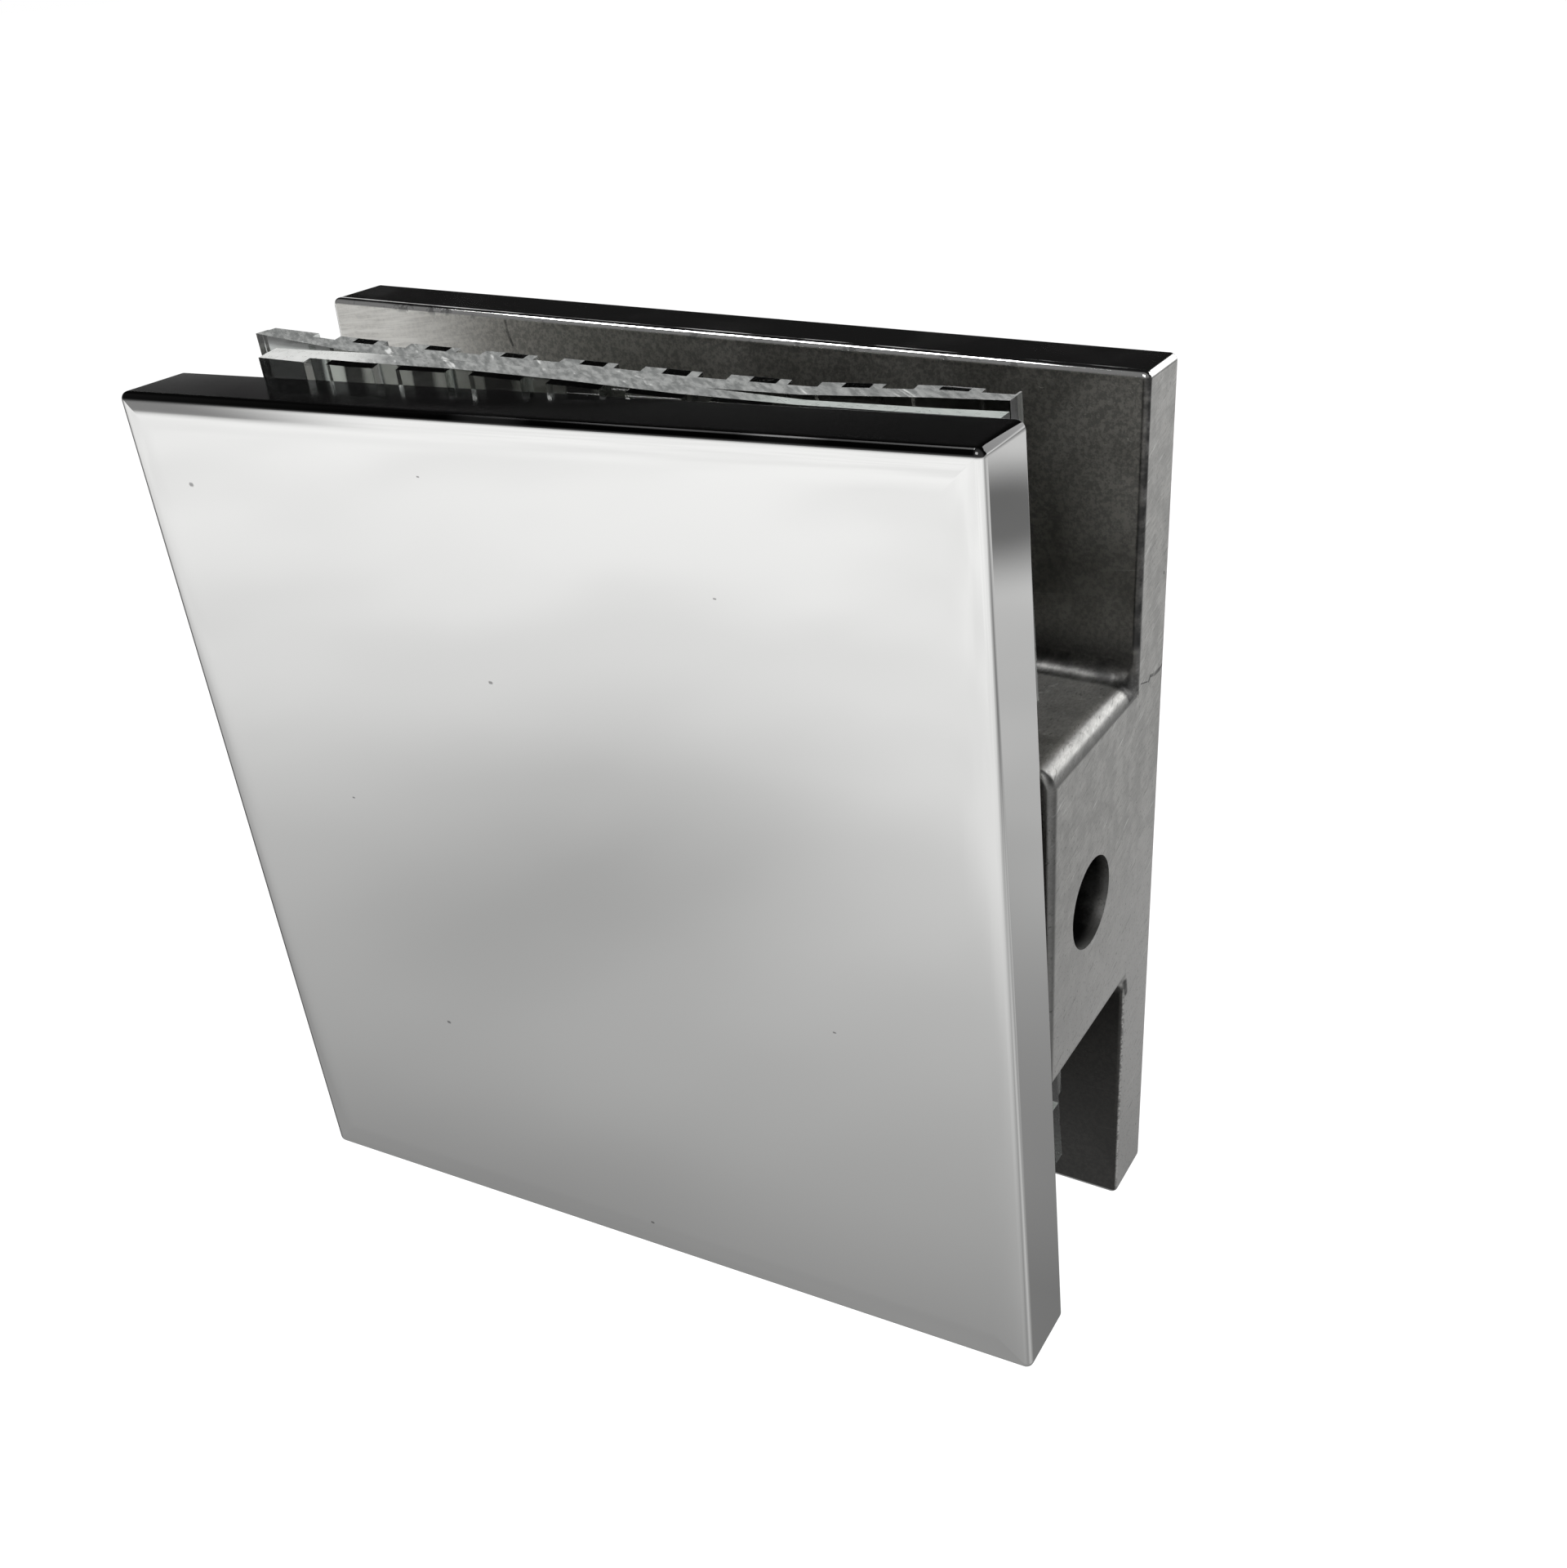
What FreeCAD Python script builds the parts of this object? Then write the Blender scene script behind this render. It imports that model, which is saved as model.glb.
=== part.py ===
import FreeCAD, Part
import math
import os

# Wall-to-glass connector. Sizes are in millimetres.
# The origin is the centre of the wall screw's bore, on the face that meets the wall.
# +X points into the wall, the polished front plate is on the -Y side, +Z is up.

V = FreeCAD.Vector

# plates, the rear one a little wider than the front one
plate_side = 50.0
rear_extra_width = 0.7
front_thickness = 4.4
rear_thickness = 4.1

# boss that joins the rear plate to the wall and to the front plate
boss_length = 25.0
boss_height = 18.5
boss_above_middle = 0.15
boss_depth = 10.9

# bore for the wall screw, along X through the boss
bore_radius = 2.5
bore_below_middle = 0.6
bore_to_rear_plate = 5.65
bore_sink_radius = 4.8

# how the front plate stands as it is found: a little off the boss and turned in its screw play
rest_gap = 0.5
plate_turn_deg = 2.75

# clamp screws, along Y through the rear plate and the boss into the front plate
screw_from_wall = 19.0
screw_spacing = 12.0
screw_engagement = 2.6
shank_radius = 1.95
screw_play = 0.4
head_radius = 3.75
head_land = 0.25
head_below_face = 0.1
sink_play = 0.55
key_across_flats = 2.5
key_depth = 1.5
tip_chamfer = 0.4
tapped_clearance = 0.05
tapped_past_tip = 0.8

# edges
plate_corner = 0.45
front_edge = 0.35
back_edge = 0.25
body_corner = 0.4
body_outer_edge = 0.35
body_inner_edge = 0.3
boss_top_round = 1.1
boss_under_round = 0.5
boss_root_fillet = 1.0
boss_front_edge = 0.35

# clear gaskets: a sheet with upright ribs on its outer side, cut by hand
sheet_thickness = 0.9
rib_height = 0.5
rib_width = 3.2
rib_pitch = 4.75
sheet_clearance = 0.05
front_gasket_shift = 0.8
rear_gasket_rise = 0.2
rear_gasket_swing_deg = 1.9
gasket_from_left = 3.8
gasket_from_wall = 3.2
gasket_below_boss = 4.7
gasket_top_rise = 0.9
gasket_lean = 3.1
notch_beside = 1.9
notch_above = 1.7
notch_below = 1.3

# how far a cutting shape runs past the face that it opens
run_past = 1.0

# places that follow from the sizes above
rear_inner = bore_to_rear_plate
rear_outer = rear_inner + rear_thickness
boss_front = rear_inner - boss_depth
front_back = boss_front - rest_gap
front_face = front_back - front_thickness
rear_width = plate_side + rear_extra_width
plate_middle = bore_below_middle
plate_bottom = plate_middle - plate_side / 2
plate_top = plate_bottom + plate_side
boss_bottom = plate_middle + boss_above_middle - boss_height / 2
boss_top = boss_bottom + boss_height
play_radius = shank_radius + screw_play
sink_radius = head_radius + head_land + sink_play
tapped_depth = screw_engagement + tapped_past_tip
gasket_drop = plate_top - boss_bottom + gasket_below_boss
gasket_width = plate_side - gasket_from_left - gasket_from_wall


def is_near(a, b):
    return abs(a - b) < 0.01


def edges_along(shape, axis, keep):
    found = []
    for edge in shape.Edges:
        if not isinstance(edge.Curve, Part.Line):
            continue
        run = edge.Vertexes[0].Point - edge.Vertexes[1].Point
        if abs(getattr(run, axis)) < edge.Length - 0.01:
            continue
        if keep(edge.CenterOfMass):
            found.append(edge)
    return found


def edges_in_plane(shape, axis, value, keep=None):
    found = []
    for edge in shape.Edges:
        box = edge.BoundBox
        low = getattr(box, axis + "Min")
        high = getattr(box, axis + "Max")
        if is_near(low, value) and is_near(high, value):
            if keep is None or keep(edge.CenterOfMass):
                found.append(edge)
    return found


def rounded_plate(width, back_y, thickness, corner, near_edge, far_edge):
    """A plate from the wall face to the left, its near side facing -Y, with soft edges all round."""
    plate = Part.makeBox(width, thickness, plate_side)
    plate.translate(V(-width, back_y - thickness, plate_bottom))
    plate = plate.makeFillet(corner, edges_along(plate, "y", lambda c: True))
    plate = plate.makeFillet(near_edge, edges_in_plane(plate, "Y", back_y - thickness))
    return plate.makeFillet(far_edge, edges_in_plane(plate, "Y", back_y))


def boss_block():
    """The block between the plates, round along its long edges."""
    root = rear_thickness / 2
    block = Part.makeBox(boss_length, boss_depth + root, boss_height)
    block.translate(V(-boss_length, boss_front, boss_bottom))
    middle = (boss_bottom + boss_top) / 2
    upper = edges_along(block, "y", lambda c: c.z > middle)
    block = block.makeFillet(boss_top_round, upper)
    lower = edges_along(block, "y", lambda c: c.z < middle)
    block = block.makeFillet(boss_under_round, lower)
    return block.makeFillet(boss_front_edge, edges_in_plane(block, "Y", boss_front))


def rod(radius, start, along, length):
    return Part.makeCylinder(radius, length, start, along)


def countersink(wide_radius, at, inward):
    """A right-angled cone that narrows inward from its mouth."""
    return Part.makeCone(wide_radius, 0, wide_radius, at, inward)


def screw_heights():
    half = screw_spacing / 2
    return {"upper": plate_middle + half, "lower": plate_middle - half}


def make_body():
    """Rear plate and boss in one casting, with the wall bore and the two screw holes."""
    edges = body_inner_edge, body_outer_edge
    body = rounded_plate(rear_width, rear_outer, rear_thickness, body_corner, *edges)
    body = body.fuse(boss_block()).removeSplitter()

    def at_root(c):
        inside = -boss_length - 0.1 < c.x < -0.02
        return inside and boss_bottom - 0.1 < c.z < boss_top + 0.1

    body = body.makeFillet(boss_root_fillet, edges_in_plane(body, "Y", rear_inner, at_root))

    inner_end = V(-boss_length, 0, 0)
    into_wall = V(1, 0, 0)
    bore = rod(bore_radius, inner_end - into_wall * run_past, into_wall, boss_length + 2 * run_past)
    bore = bore.fuse(countersink(bore_sink_radius, inner_end, into_wall))
    body = body.cut(bore)

    for height in screw_heights().values():
        start = V(-screw_from_wall, boss_front - run_past, height)
        depth = boss_depth + rear_thickness + 2 * run_past
        hole = rod(play_radius, start, V(0, 1, 0), depth)
        sink_at = V(-screw_from_wall, rear_outer, height)
        hole = hole.fuse(countersink(sink_radius, sink_at, V(0, -1, 0)))
        body = body.cut(hole)
    return body


def turned(shape):
    """Turns what hangs on the front plate about the middle between the screws."""
    about = V(-screw_from_wall, 0, plate_middle)
    shape.rotate(about, V(0, 1, 0), -plate_turn_deg)
    return shape


def make_front_plate():
    """Polished plate with two blind tapped holes in its back."""
    plate = rounded_plate(plate_side, front_back, front_thickness, plate_corner, front_edge, back_edge)
    for height in screw_heights().values():
        start = V(-screw_from_wall, front_back - tapped_depth, height)
        hole = rod(shank_radius + tapped_clearance, start, V(0, 1, 0), tapped_depth + run_past)
        plate = plate.cut(hole)
    return turned(plate)


def make_screw(height):
    """Countersunk screw with a hexagon socket, its head in the rear plate."""
    head_y = rear_outer - head_below_face
    tip_y = front_back - screw_engagement
    cone = head_radius - shank_radius
    points = [
        V(0, tip_y, 0),
        V(shank_radius - tip_chamfer, tip_y, 0),
        V(shank_radius, tip_y + tip_chamfer, 0),
        V(shank_radius, head_y - head_land - cone, 0),
        V(head_radius, head_y - head_land, 0),
        V(head_radius, head_y, 0),
        V(0, head_y, 0),
        V(0, tip_y, 0),
    ]
    outline = Part.Face(Part.makePolygon(points))
    screw = outline.revolve(V(0, 0, 0), V(0, 1, 0), 360)
    reach = key_across_flats / 2 / math.cos(math.radians(30))
    corners = []
    for step in range(7):
        turn = math.radians(60 * step)
        corners.append(V(reach * math.cos(turn), head_y - key_depth, reach * math.sin(turn)))
    socket = Part.Face(Part.makePolygon(corners)).extrude(V(0, key_depth + run_past, 0))
    screw = screw.cut(socket)
    screw.translate(V(-screw_from_wall, 0, height))
    return turned(screw)


def gasket_outline():
    """Outline of a gasket seen from the front, open to the right round the boss."""
    top = plate_top
    low = top - gasket_drop
    left = gasket_from_left - plate_side
    right = left + gasket_width
    notch_end = -boss_length - notch_beside
    notch_high = boss_top + notch_above
    notch_low = boss_bottom - notch_below

    def leaned(x, z):
        return V(x + gasket_lean * (top - z) / gasket_drop, 0, z)

    return [
        V(left, 0, top),
        V(right, 0, top + gasket_top_rise),
        leaned(right, notch_high),
        V(notch_end, 0, notch_high),
        V(notch_end, 0, notch_low),
        leaned(right, notch_low),
        leaned(right, low),
        leaned(left, low),
        V(left, 0, top),
    ]


def make_gasket(sheet_y, rib_side):
    """A sheet from sheet_y towards +Y, its ribs on the side that rib_side points to."""
    outline = Part.Face(Part.makePolygon(gasket_outline()))
    whole = outline.extrude(V(0, sheet_thickness + 2 * rib_height, 0))
    whole.translate(V(0, sheet_y - rib_height, 0))
    box = whole.BoundBox
    wide = box.XLength + 2 * run_past
    high = box.ZLength + 2 * run_past
    solid = Part.makeBox(wide, sheet_thickness, high)
    solid.translate(V(box.XMin - run_past, sheet_y, box.ZMin - run_past))
    rib_y = sheet_y + sheet_thickness if rib_side > 0 else sheet_y - rib_height
    lean = math.degrees(math.atan2(gasket_lean, gasket_drop))
    count = int(gasket_width // rib_pitch) + 1
    foot = V(box.XMin, 0, box.ZMax)
    for step in range(count):
        rib = Part.makeBox(rib_width, rib_height, high + 2 * run_past)
        rib.translate(V(box.XMin + step * rib_pitch, rib_y, box.ZMin - 2 * run_past))
        rib.rotate(foot, V(0, 1, 0), -lean)
        solid = solid.fuse(rib)
    return whole.common(solid).removeSplitter()


def make_front_gasket():
    gasket = make_gasket(front_back + sheet_clearance + rib_height, -1)
    gasket.translate(V(front_gasket_shift, 0, 0))
    return gasket


def make_rear_gasket():
    start = front_back + 2 * sheet_clearance + rib_height + sheet_thickness
    gasket = make_gasket(start, 1)
    gasket.translate(V(0, 0, rear_gasket_rise))
    hinge = V(gasket.BoundBox.XMin, start, 0)
    gasket.rotate(hinge, V(0, 0, 1), rear_gasket_swing_deg)
    return gasket


def save(name, shape):
    shape.exportStep("parts/" + name + ".step")


os.makedirs("parts", exist_ok=True)
save("body", make_body())
save("front_plate", make_front_plate())
for place, height in screw_heights().items():
    save(place + "_clamp_screw", make_screw(height))
save("front_gasket", make_front_gasket())
save("rear_gasket", make_rear_gasket())
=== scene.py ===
# %% [markdown]
# # A wall-to-glass connector
# A cast rear plate with a boss is screwed to a wall through the bore in the boss. A polished
# front plate is drawn against it by two countersunk screws, and a pane of glass stands in the
# slot between the plates, padded by two clear ribbed gaskets.
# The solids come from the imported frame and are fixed. This script gives them their finish and
# replaces the plain ones by pieces that carry more detail, each in the place of its solid.

# %% Load the fixed frame
import math

import bmesh
import bpy
from mathutils import Matrix, Vector


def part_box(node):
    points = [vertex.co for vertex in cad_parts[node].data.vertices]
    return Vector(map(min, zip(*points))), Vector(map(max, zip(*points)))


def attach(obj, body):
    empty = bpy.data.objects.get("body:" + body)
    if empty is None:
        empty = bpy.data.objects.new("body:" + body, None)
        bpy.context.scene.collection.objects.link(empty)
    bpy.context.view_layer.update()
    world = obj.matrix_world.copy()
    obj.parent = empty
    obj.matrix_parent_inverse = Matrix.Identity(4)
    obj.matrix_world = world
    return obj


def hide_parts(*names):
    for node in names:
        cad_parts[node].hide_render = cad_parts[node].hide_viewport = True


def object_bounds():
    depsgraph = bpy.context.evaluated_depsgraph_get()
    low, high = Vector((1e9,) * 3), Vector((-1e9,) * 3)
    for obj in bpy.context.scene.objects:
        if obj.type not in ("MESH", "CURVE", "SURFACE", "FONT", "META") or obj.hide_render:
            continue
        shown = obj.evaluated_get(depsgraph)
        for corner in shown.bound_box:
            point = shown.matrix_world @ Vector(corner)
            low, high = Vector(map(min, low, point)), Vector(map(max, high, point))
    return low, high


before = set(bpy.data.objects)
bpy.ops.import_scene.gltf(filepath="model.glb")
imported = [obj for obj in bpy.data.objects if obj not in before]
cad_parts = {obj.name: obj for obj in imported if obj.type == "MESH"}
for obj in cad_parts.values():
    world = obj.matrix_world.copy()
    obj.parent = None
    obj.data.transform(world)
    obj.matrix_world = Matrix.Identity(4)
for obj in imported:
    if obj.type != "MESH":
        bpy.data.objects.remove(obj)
cad_low, cad_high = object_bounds()
mm = 0.001


def show_box(title, low, high):
    print(title, [round(v / mm, 2) for v in (*low, *high)], "mm")


show_box("CAD box", cad_low, cad_high)

# %% [markdown]
# ## The camera
# The picture was taken from very near, so its perspective is strong: the camera stands about
# 9 cm from the connector. Its place, turn and lens were worked out from the corners of the two
# plates. The near limit of its view has to be a millimetre, or the object would be cut away.

# %% Set up the camera
image_width = 1919
image_height = 1920
focal_pixels = 2039.4
centre_across = 1065.2
centre_down = 1011.2
sensor_width = 36.0

view_data = bpy.data.cameras.new("photo_camera")
view_data.sensor_fit = "HORIZONTAL"
view_data.sensor_width = sensor_width
view_data.lens = focal_pixels / image_width * sensor_width
view_data.shift_x = (image_width / 2 - centre_across) / image_width
view_data.shift_y = (centre_down - image_height / 2) / image_width
view_data.clip_start = 1 * mm
view_data.clip_end = 20
view_camera = bpy.data.objects.new("photo_camera", view_data)
view_camera.location = Vector((25.512, -67.809, 46.209)) * mm
view_camera.rotation_euler = [math.radians(a) for a in (60.1247, 2.3772, 28.081)]
bpy.context.scene.collection.objects.link(view_camera)
bpy.context.scene.camera = view_camera
bpy.context.scene.view_settings.view_transform = "Standard"
print("lens in mm:", round(view_data.lens, 2))

# %% [markdown]
# ## Small helpers for node trees
# Every finish below is a tree of nodes. Short helpers keep those trees readable: one adds a node
# with its settings, and the others add sums, products, masks, noise and mixed colours.

# %% Helpers for node trees
def add_node(tree, kind, values=None, **settings):
    made = tree.nodes.new(kind)
    for key, value in settings.items():
        setattr(made, key, value)
    for key, value in (values or {}).items():
        if isinstance(value, bpy.types.NodeSocket):
            tree.links.new(value, made.inputs[key])
        else:
            made.inputs[key].default_value = value
    return made


def maths(tree, operation, *terms):
    """Joins two terms, and each further one, by the operation."""
    result, *others = terms
    if not others:
        return add_node(tree, "ShaderNodeMath", {0: result}, operation=operation).outputs[0]
    for term in others:
        result = add_node(tree, "ShaderNodeMath", {0: result, 1: term}, operation=operation).outputs[0]
    return result


def product(tree, *terms):
    return maths(tree, "MULTIPLY", *terms)


def largest(tree, *terms):
    return maths(tree, "MAXIMUM", *terms)


def vector_maths(tree, operation, *terms):
    """A vector, or the number that a length, a distance or a dot product gives."""
    made = add_node(tree, "ShaderNodeVectorMath", dict(enumerate(terms)), operation=operation)
    gives_number = operation in ("LENGTH", "DISTANCE", "DOT_PRODUCT")
    return made.outputs["Value" if gives_number else "Vector"]


def split(tree, vector):
    """The three parts of a vector, by their letters."""
    return add_node(tree, "ShaderNodeSeparateXYZ", {0: vector}).outputs


def soft_step(tree, value, low, high, start=0.0, end=1.0):
    """Goes smoothly from start at low to end at high."""
    values = {"Value": value, "From Min": low, "From Max": high, "To Min": start, "To Max": end}
    made = add_node(tree, "ShaderNodeMapRange", values, interpolation_type="SMOOTHSTEP")
    return made.outputs["Result"]


def noise(tree, place, scale, detail, roughness=0.5):
    """Soft random values round a half."""
    values = {"Vector": place, "Scale": scale, "Detail": detail, "Roughness": roughness}
    return add_node(tree, "ShaderNodeTexNoise", values).outputs["Fac"]


def grey(value):
    return (value, value, value, 1.0)


def mix_colours(tree, share, first, second, blend_type="MIX"):
    made = add_node(tree, "ShaderNodeMix", data_type="RGBA", blend_type=blend_type)
    for socket, value in ((made.inputs[0], share), (made.inputs[6], first), (made.inputs[7], second)):
        if isinstance(value, bpy.types.NodeSocket):
            tree.links.new(value, socket)
        else:
            socket.default_value = value
    return made.outputs[2]


def tone_ramp(tree, value, stops):
    """Greys from stop to stop, each given by its position from 0 to 1 and its tone."""
    made = add_node(tree, "ShaderNodeValToRGB", {0: value})
    while len(made.color_ramp.elements) < len(stops):
        made.color_ramp.elements.new(0.5)
    for element, (position, tone) in zip(made.color_ramp.elements, stops):
        element.position = position
        element.color = grey(tone)
    return made.outputs[0]


# %% [markdown]
# ## The studio
# Polished steel has no colour of its own to speak of: it shows the room. In the photograph the
# front plate mirrors a pale table that is greyer close by, and the upper edges mirror a dark
# room above it. So the floor is white paper to the eye and to light, and for mirrored rays it
# carries a painted shadow: a soft grade from grey below the object to white further off.

# %% Lay the floor
floor_size = 6
floor_drop = 94 * mm
floor_height = cad_low.z - floor_drop
bpy.ops.object.select_all(action="DESELECT")
bpy.ops.mesh.primitive_plane_add(size=floor_size, location=(0, 0, floor_height))
floor = bpy.context.active_object
floor.name = "floor"
print("floor at", round(floor_height / mm, 1), "mm")

# %% [markdown]
# The painted shadow follows the distance from the object, squeezed from left to right. Behind
# the object the painted shadow is darker, and a slow cloud keeps the grade from looking drawn.
# Round spots of painted shade and painted light darken or lighten the places that certain edges
# mirror. Far off at the front left lies a painted dark patch, which shows at the left end of the
# front plate's upper rim.

# %% Paint the paper's shadow for mirrored rays
paper = bpy.data.materials.new("white_paper")
paper.use_nodes = True
tree = paper.node_tree
tree.nodes.clear()
place = add_node(tree, "ShaderNodeNewGeometry").outputs["Position"]
along = split(tree, place)
middle = (cad_low + cad_high) / 2
offset = vector_maths(tree, "SUBTRACT", place, middle)
distance = vector_maths(tree, "LENGTH", vector_maths(tree, "MULTIPLY", offset, (0.25, 1, 0)))

ramp_reach = 0.5
stops = ((0.09, 0.28), (0.11, 0.37), (0.16, 0.51), (0.22, 0.735), (0.30, 0.83), (0.40, 0.90))
ramp_stops = [(reach / ramp_reach, light) for reach, light in stops]
ramp = tone_ramp(tree, product(tree, distance, 1 / ramp_reach), ramp_stops)

behind = soft_step(tree, along["Y"], -0.05, 0.05, 1.0, 0.62)
cloud = soft_step(tree, noise(tree, place, 14.0, 2.0, 0.4), 0.3, 0.7, 0.94, 1.05)
shade = product(tree, behind, cloud)
# Round spots of painted shade and painted light, each with its centre, reach and strength.
spots = (
    ((-0.165, -0.185), 0.01, 0.085, 0.76),
    ((0.205, 0.41), 0.02, 0.085, 0.25),
    ((0.18, 0.03), 0.06, 0.15, 2.0))
for centre, reach_in, reach_out, strength in spots:
    gap = vector_maths(tree, "DISTANCE", place, (*centre, floor_height))
    shade = product(tree, shade, soft_step(tree, gap, reach_in, reach_out, strength, 1.0))
painted_floor_shade = mix_colours(tree, 1.0, ramp, shade, "MULTIPLY")
# A painted dark patch far off at the front left.
far_front = soft_step(tree, along["Y"], -0.44, -0.56)
far_left = soft_step(tree, maths(tree, "DIVIDE", along["X"], along["Y"]), 1.0, 1.25)
painted_floor_shade = mix_colours(tree, product(tree, far_front, far_left), painted_floor_shade, grey(0.22))

# %% [markdown]
# A camera ray sees paper that glows a little below white, so the floor keeps the object's faint
# shadow. Light sees plain matt paper, and mirrored rays see the painted shadow.

# %% Choose the paper's look by the kind of ray
rays = add_node(tree, "ShaderNodeLightPath").outputs
mirrored = largest(tree, rays["Is Glossy Ray"], rays["Is Transmission Ray"])
glow = add_node(tree, "ShaderNodeEmission", {"Color": painted_floor_shade}).outputs[0]
matt = add_node(tree, "ShaderNodeBsdfDiffuse", {"Color": grey(0.85)}).outputs[0]
bright = add_node(tree, "ShaderNodeEmission", {"Color": grey(0.8)}).outputs[0]
faint = add_node(tree, "ShaderNodeBsdfDiffuse", {"Color": grey(0.3)}).outputs[0]
by_eye = add_node(tree, "ShaderNodeAddShader", {0: bright, 1: faint}).outputs[0]
blend = add_node(tree, "ShaderNodeMixShader", {0: rays["Is Camera Ray"], 1: matt, 2: by_eye}).outputs[0]
blend = add_node(tree, "ShaderNodeMixShader", {0: mirrored, 1: blend, 2: glow}).outputs[0]
add_node(tree, "ShaderNodeOutputMaterial", {0: blend})
floor.data.materials.append(paper)

# %% [markdown]
# The world is white to the eye. For a mirror it is white up to a low sweep, which lies higher
# behind the object than in front, and dark above it, as an unlit ceiling is.

# %% Give the room its white sweep and dark ceiling
world = bpy.data.worlds.new("room")
bpy.context.scene.world = world
world.use_nodes = True
tree = world.node_tree
tree.nodes.clear()
way = split(tree, add_node(tree, "ShaderNodeTexCoord").outputs["Generated"])
sweep_top = soft_step(tree, way["Y"], -0.5, 0.5, -0.13, 0.10)
above = soft_step(tree, maths(tree, "SUBTRACT", way["Z"], sweep_top), 0.0, 0.035)
ceiling = mix_colours(tree, soft_step(tree, way["Y"], 0.3, -0.3), grey(0.01), grey(0.18))
sweep = mix_colours(tree, soft_step(tree, way["Y"], 0.2, 0.6), grey(0.95), grey(0.78))
mirrored = mix_colours(tree, above, sweep, ceiling)
rays = add_node(tree, "ShaderNodeLightPath").outputs
lit = mix_colours(tree, rays["Is Diffuse Ray"], mirrored, grey(0.7))
shown = mix_colours(tree, rays["Is Camera Ray"], lit, grey(1.0))
sky = add_node(tree, "ShaderNodeBackground", {"Color": shown})
add_node(tree, "ShaderNodeOutputWorld", {0: sky.outputs[0]})

# %% [markdown]
# ## The lamps
# Soft boxes light the object as in a small studio. A mirror shows each of them as a bright
# patch, so they stand where the photograph has its bright lines: one overhead, which draws the
# line along the rear plate's inner edge, and one behind on the right, which lights the round
# upper edge of the boss. The third is a gentle light from the front.

# %% Hang the lamps
def hang_lamp(name, way, distance, size, power):
    """A square soft box in the direction way, turned to face the object."""
    data = bpy.data.lights.new(name, "AREA")
    data.shape = "SQUARE"
    data.size = size
    data.energy = power
    lamp = bpy.data.objects.new(name, data)
    toward = Vector(way).normalized()
    lamp.location = middle + toward * distance
    lamp.rotation_euler = toward.to_track_quat("Z", "Y").to_euler()
    bpy.context.scene.collection.objects.link(lamp)


hang_lamp("overhead_box", (-0.49, -0.05, 0.87), 0.6, 0.2, 1.3)
hang_lamp("right_box", (0.42, 0.84, 0.36), 0.6, 0.42, 0.83)
hang_lamp("front_box", (0.1, -0.75, 0.65), 0.7, 0.3, 0.8)
print("lamps:", ", ".join(sorted(lamp.name for lamp in bpy.data.lights)))

# %% [markdown]
# ## Modelling helpers
# A piece starts as a primitive of the right size. In edit mode its faces or edges are chosen by
# where they lie, and an operator shapes them. Everything is deselected first, because an
# operator acts on all that is selected.

# %% Helpers for whole pieces
def add_block(name, low, high):
    bpy.ops.object.select_all(action="DESELECT")
    bpy.ops.mesh.primitive_cube_add(size=1, location=(low + high) / 2)
    block = bpy.context.active_object
    block.name = name
    block.data.name = name
    block.scale = high - low
    bpy.ops.object.transform_apply(location=True, rotation=True, scale=True)
    return block


def add_rod(name, radius, start, length, sides=64):
    """A cylinder along +Y from start."""
    bpy.ops.object.select_all(action="DESELECT")
    centre = start + Vector((0, length / 2, 0))
    bpy.ops.mesh.primitive_cylinder_add(vertices=sides, radius=radius, depth=length, location=centre,
                                        rotation=(math.radians(90), 0, 0))
    made = bpy.context.active_object
    made.name = name
    bpy.ops.object.transform_apply(location=True, rotation=True, scale=True)
    return made


def box_of(points):
    """The lowest and the highest corner of the box round the points."""
    low = Vector([min(point[i] for point in points) for i in range(3)])
    high = Vector([max(point[i] for point in points) for i in range(3)])
    return low, high


def only(piece):
    bpy.ops.object.select_all(action="DESELECT")
    piece.select_set(True)
    bpy.context.view_layer.objects.active = piece


def finish_with(piece, kind, **settings):
    """Adds a modifier and applies it."""
    only(piece)
    bpy.ops.object.modifier_add(type=kind)
    modifier = piece.modifiers[-1]
    for key, value in settings.items():
        setattr(modifier, key, value)
    bpy.ops.object.modifier_apply(modifier=modifier.name)


def cut_with(piece, tool):
    finish_with(piece, "BOOLEAN", operation="DIFFERENCE", object=tool, solver="EXACT")
    bpy.data.objects.remove(tool)


def smooth(piece, angle=30):
    only(piece)
    bpy.ops.object.shade_smooth_by_angle(angle=math.radians(angle))
    finish_with(piece, "WEIGHTED_NORMAL", keep_sharp=True)


# %% [markdown]
# Edges and faces are chosen by a test on their middle and their direction. Their numbers would
# be shorter to write, but those change with every operator.

# %% Helpers for edit mode
def edit(piece):
    only(piece)
    bpy.ops.object.mode_set(mode="EDIT")


def leave():
    bpy.ops.object.mode_set(mode="OBJECT")


def choose_faces(piece, test):
    """Selects the faces whose middle and normal pass the test."""
    bpy.ops.mesh.select_mode(type="FACE")
    bpy.ops.mesh.select_all(action="DESELECT")
    mesh = bmesh.from_edit_mesh(piece.data)
    for face in mesh.faces:
        if test(face.calc_center_median(), face.normal):
            face.select_set(True)
    bmesh.update_edit_mesh(piece.data)


def choose_edges(piece, test):
    """Selects the edges whose middle and direction pass the test."""
    bpy.ops.mesh.select_mode(type="EDGE")
    bpy.ops.mesh.select_all(action="DESELECT")
    mesh = bmesh.from_edit_mesh(piece.data)
    for edge in mesh.edges:
        a, b = edge.verts[0].co, edge.verts[1].co
        if test((a + b) / 2, (b - a).normalized()):
            edge.select_set(True)
    bmesh.update_edit_mesh(piece.data)


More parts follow.
